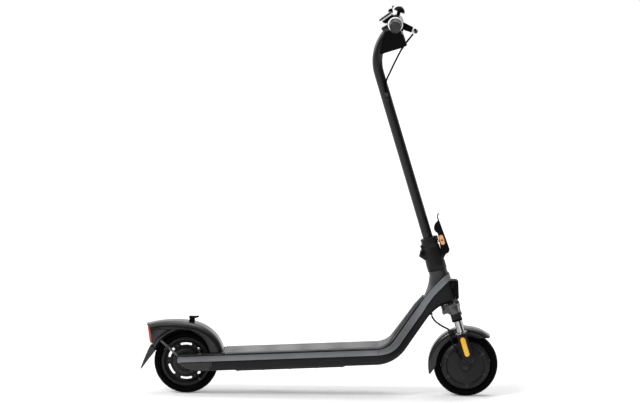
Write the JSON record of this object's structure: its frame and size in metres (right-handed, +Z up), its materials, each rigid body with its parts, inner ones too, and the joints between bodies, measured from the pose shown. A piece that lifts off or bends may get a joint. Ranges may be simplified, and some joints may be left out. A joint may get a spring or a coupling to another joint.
{
  "type": "electric scooter",
  "caption": "Folding electric kick scooter with telescopic fork, hub motor front wheel, drum-braked rear wheel, rubber-topped deck with silver side band, fenders, lights and bell.",
  "frame": {"origin": "on the ground, centred in length and width between the wheels and mud flap", "axes": "+X forward, +Y to the rider's left, +Z up"},
  "size_m": [1.1322, 0.47, 1.2271],
  "materials": {
    "frame_paint": "satin",
    "trim_silver": "satin metallic",
    "black_plastic": "fine grain",
    "grey_plastic": "fine grain",
    "mat_rubber": "ribbed",
    "tyre_rubber": "matt",
    "grip_rubber": "matt",
    "chrome": "polished",
    "steel": "zinc plated",
    "amber": "prismatic",
    "orange": "satin",
    "red_lens": "prismatic",
    "clear_lens": "clear",
    "display_glass": "tinted",
    "battery_wrap": "satin"
  },
  "bodies": {
    "frame": {"chassis": "frame_paint", "deck_mat": "mat_rubber", "side_trim": "trim_silver", "bottom_cover": "black_plastic", "battery_pack": "battery_wrap", "motor_controller": "steel", "headlight_housing": "black_plastic", "headlight_lens": "clear_lens", "rear_fender": "grey_plastic", "tail_light_housing": "black_plastic", "tail_light_lens": "red_lens", "mud_flap": "grey_plastic", "folding_hook": "black_plastic", "fender_stay_right": "grey_plastic", "fender_stay_left": "grey_plastic", "rear_axle": "steel", "headset_bearing_upper": "steel", "headset_bearing_lower": "steel"},
    "kickstand": {"kickstand_leg": "black_plastic"},
    "charge_cap": {"charge_port_cap": "grip_rubber"},
    "brake_arm": {"brake_arm": "steel"},
    "rear_wheel": {"rear_tyre": "tyre_rubber", "rear_rim": "black_plastic"},
    "steering": {"fork_crown": "grey_plastic", "stanchion_right": "chrome", "stanchion_left": "chrome", "fold_base": "black_plastic", "hinge_pin": "steel", "motor_cable": "black_plastic", "fork_spring_right": "steel", "fork_spring_left": "steel"},
    "fork_lower": {"fork_leg_right": "black_plastic", "fork_leg_left": "black_plastic", "reflector_right": "amber", "reflector_left": "amber", "front_fender": "grey_plastic", "front_axle": "steel", "motor_stator": "steel"},
    "front_wheel": {"front_tyre": "tyre_rubber", "motor_hub": "black_plastic", "motor_cover_right": "black_plastic", "motor_cover_left": "black_plastic"},
    "latch": {"latch_lever": "black_plastic"},
    "latch_button": {"latch_button": "orange"},
    "stem": {"stem_tube": "frame_paint", "stem_collar": "black_plastic", "head_cover": "black_plastic", "handlebar": "black_plastic", "grip_right": "grip_rubber", "grip_left": "grip_rubber", "display_housing": "black_plastic", "display_lens": "display_glass", "throttle_housing": "black_plastic", "brake_perch": "black_plastic", "brake_cable": "black_plastic", "bell": "black_plastic"},
    "power_button": {"power_button": "grey_plastic"},
    "throttle": {"throttle_lever": "black_plastic"},
    "brake_lever": {"brake_lever": "black_plastic"},
    "bell_striker": {"bell_striker": "steel"}
  },
  "joints": [
    {"name": "rear_wheel_spin", "type": "hinge", "parent": "frame", "child": "rear_wheel", "pos_m": [-0.42109, 0, 0.10169], "axis": [0, 1, 0], "continuous": true},
    {"name": "kickstand_swing", "type": "hinge", "parent": "frame", "child": "kickstand", "pos_m": [-0.12094, 0.066, 0.07944], "axis": [0, -1, 0], "range_deg": [0, 80]},
    {"name": "charge_cap_flip", "type": "hinge", "parent": "frame", "child": "charge_cap", "pos_m": [0.11228, 0.0763, 0.12268], "axis": [0.9989, 0, 0.0471], "range_deg": [0, 110]},
    {"name": "brake_arm_swing", "type": "hinge", "parent": "frame", "child": "brake_arm", "pos_m": [-0.39509, 0.038, 0.07769], "axis": [0, -1, 0], "range_deg": [0, 20]},
    {"name": "steering_turn", "type": "hinge", "parent": "frame", "child": "steering", "pos_m": [0.38906, 0, 0.34813], "axis": [-0.2924, 0, 0.9563], "range_deg": [-45, 45], "deforming": ["motor_cable"]},
    {"name": "fork_travel", "type": "slide", "parent": "steering", "child": "fork_lower", "axis": [-0.2924, 0, 0.9563], "range_m": [0, 0.025], "stiffness_N_per_m": 9000, "springref_m": -0.014, "deforming": ["fork_spring_right", "fork_spring_left", "motor_cable"]},
    {"name": "front_wheel_spin", "type": "hinge", "parent": "fork_lower", "child": "front_wheel", "pos_m": [0.46441, 0, 0.10169], "axis": [0, 1, 0], "continuous": true},
    {"name": "latch_swing", "type": "hinge", "parent": "steering", "child": "latch", "pos_m": [0.39237, 0, 0.45872], "axis": [0, 1, 0], "range_deg": [0, 70]},
    {"name": "latch_button_press", "type": "slide", "parent": "latch", "child": "latch_button", "axis": [0, 1, 0], "range_m": [0, 0.002], "stiffness_N_per_m": 300, "springref_m": -0.001},
    {"name": "stem_fold", "type": "hinge", "parent": "steering", "child": "stem", "pos_m": [0.32535, 0, 0.45392], "axis": [0, -1, 0], "range_deg": [0, 95]},
    {"name": "throttle_press", "type": "hinge", "parent": "stem", "child": "throttle", "pos_m": [0.23419, -0.09, 1.1779], "axis": [0, -1, 0], "range_deg": [0, 30], "stiffness_Nm_per_rad": 0.15, "springref_deg": -8.59},
    {"name": "brake_lever_pull", "type": "hinge", "parent": "stem", "child": "brake_lever", "pos_m": [0.26568, 0.104, 1.16045], "axis": [0.4848, 0, 0.8746], "range_deg": [0, 18], "stiffness_Nm_per_rad": 1.5, "springref_deg": -8.59},
    {"name": "bell_striker_press", "type": "hinge", "parent": "stem", "child": "bell_striker", "pos_m": [0.21542, 0.06, 1.18628], "axis": [0, -1, 0], "range_deg": [0, 15], "stiffness_Nm_per_rad": 0.06, "springref_deg": -8.59},
    {"name": "power_button_press", "type": "slide", "parent": "stem", "child": "power_button", "axis": [0.5793, 0, -0.8151], "range_m": [0, 0.0015], "stiffness_N_per_m": 300, "springref_m": -0.001}
  ],
  "couplings": [
    {"joint": "brake_arm_swing", "follows": "brake_lever_pull", "ratio": 1}
  ]
}
